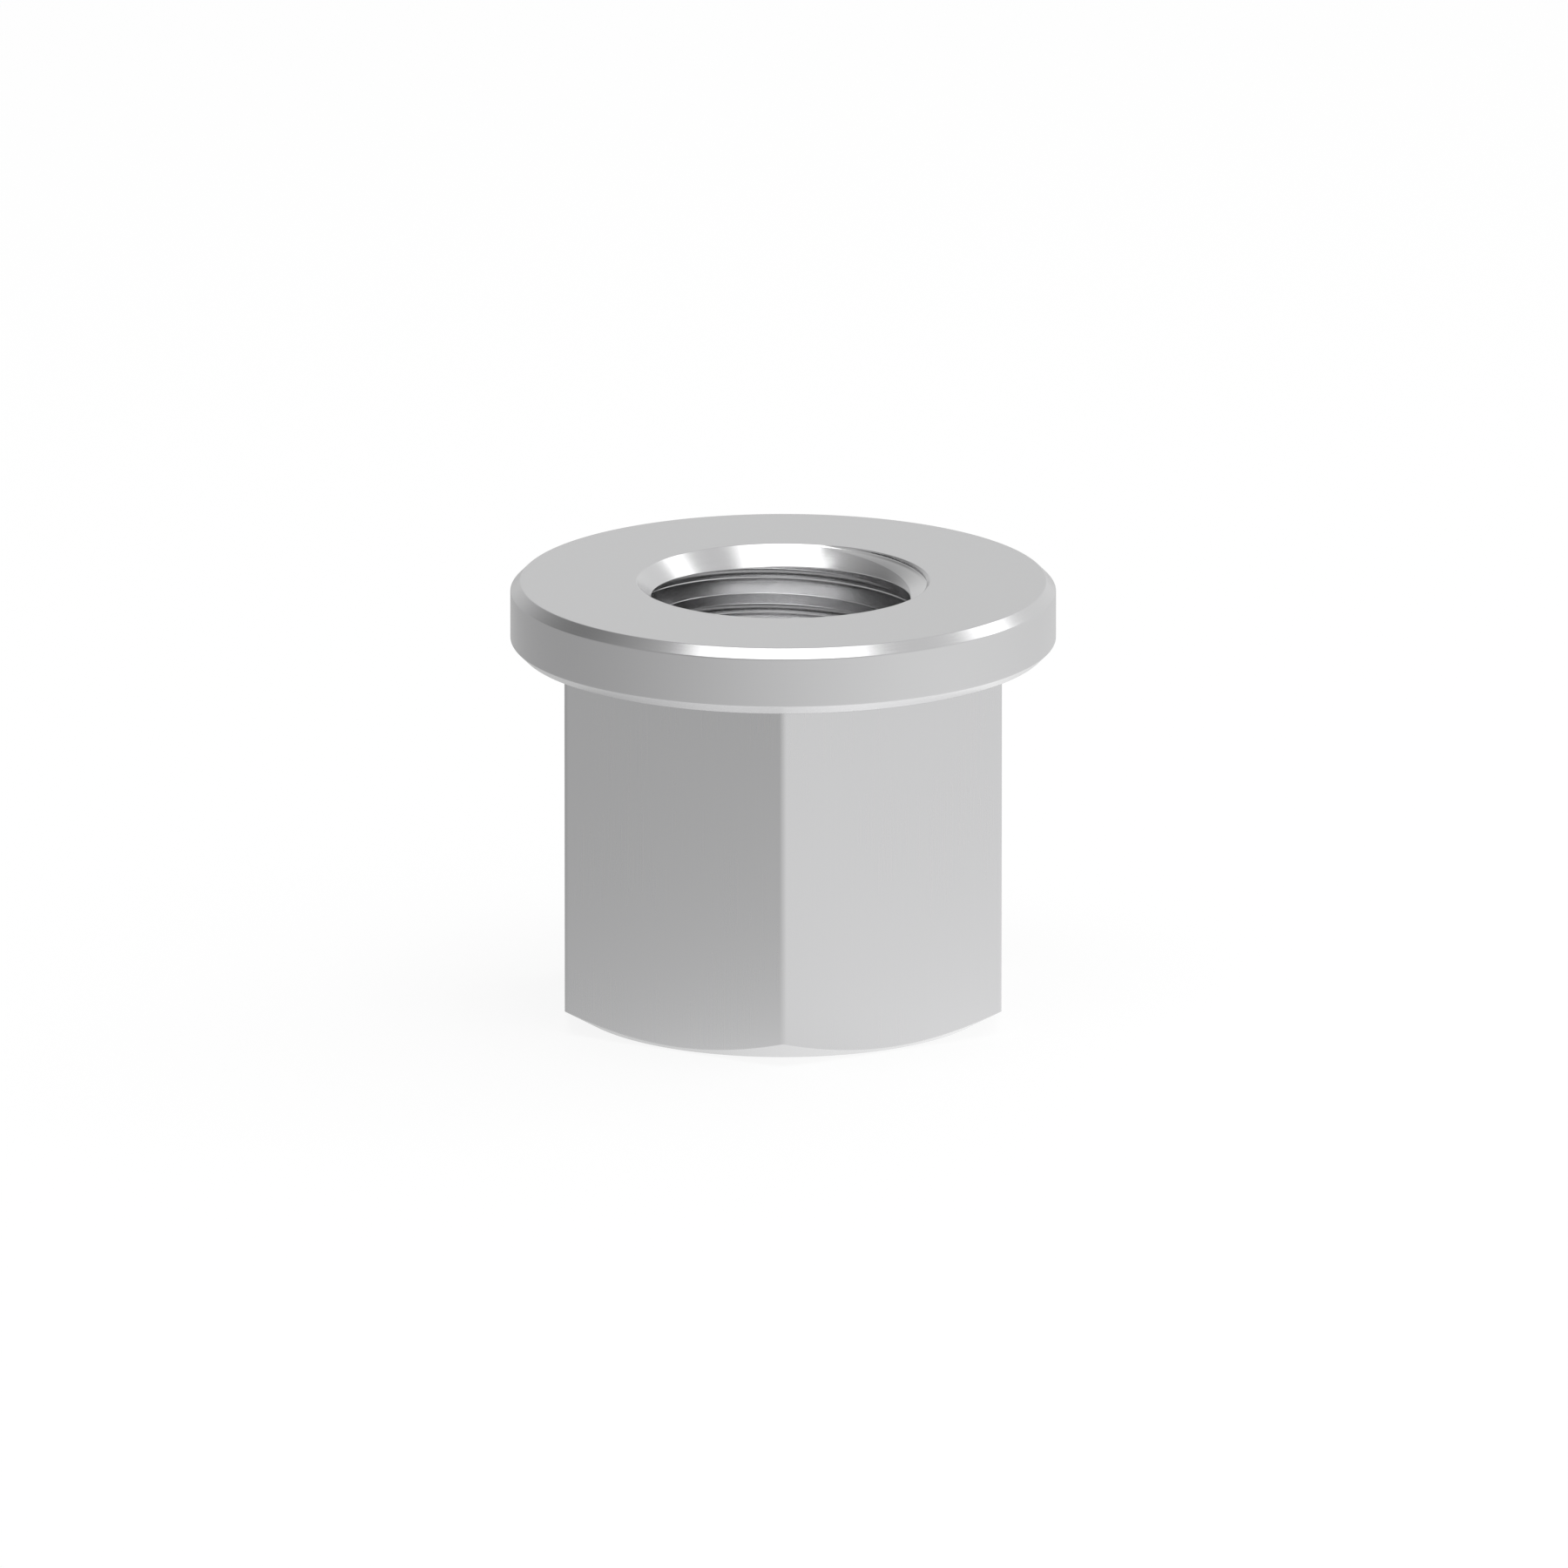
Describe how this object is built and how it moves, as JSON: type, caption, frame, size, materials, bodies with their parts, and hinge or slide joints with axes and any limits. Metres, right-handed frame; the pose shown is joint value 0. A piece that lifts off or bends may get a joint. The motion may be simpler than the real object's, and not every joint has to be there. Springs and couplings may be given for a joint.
{
  "type": "collar nut",
  "caption": "Tall hexagon nut with an integral round collar as its bearing face, a through thread countersunk at both ends, and a chamfered hexagon end.",
  "frame": {"origin": "centre of the hexagon's end face, on the thread axis", "axes": "+Z along the thread axis, from the hexagon end towards the collar; two flats of the hexagon face +X and -X, and two of its corners point to +Y and -Y"},
  "size_m": [0.045, 0.045, 0.036],
  "materials": {
    "steel": "bright turned steel, satin"
  },
  "bodies": {
    "root": {"collar_nut": "steel"}
  },
  "joints": []
}
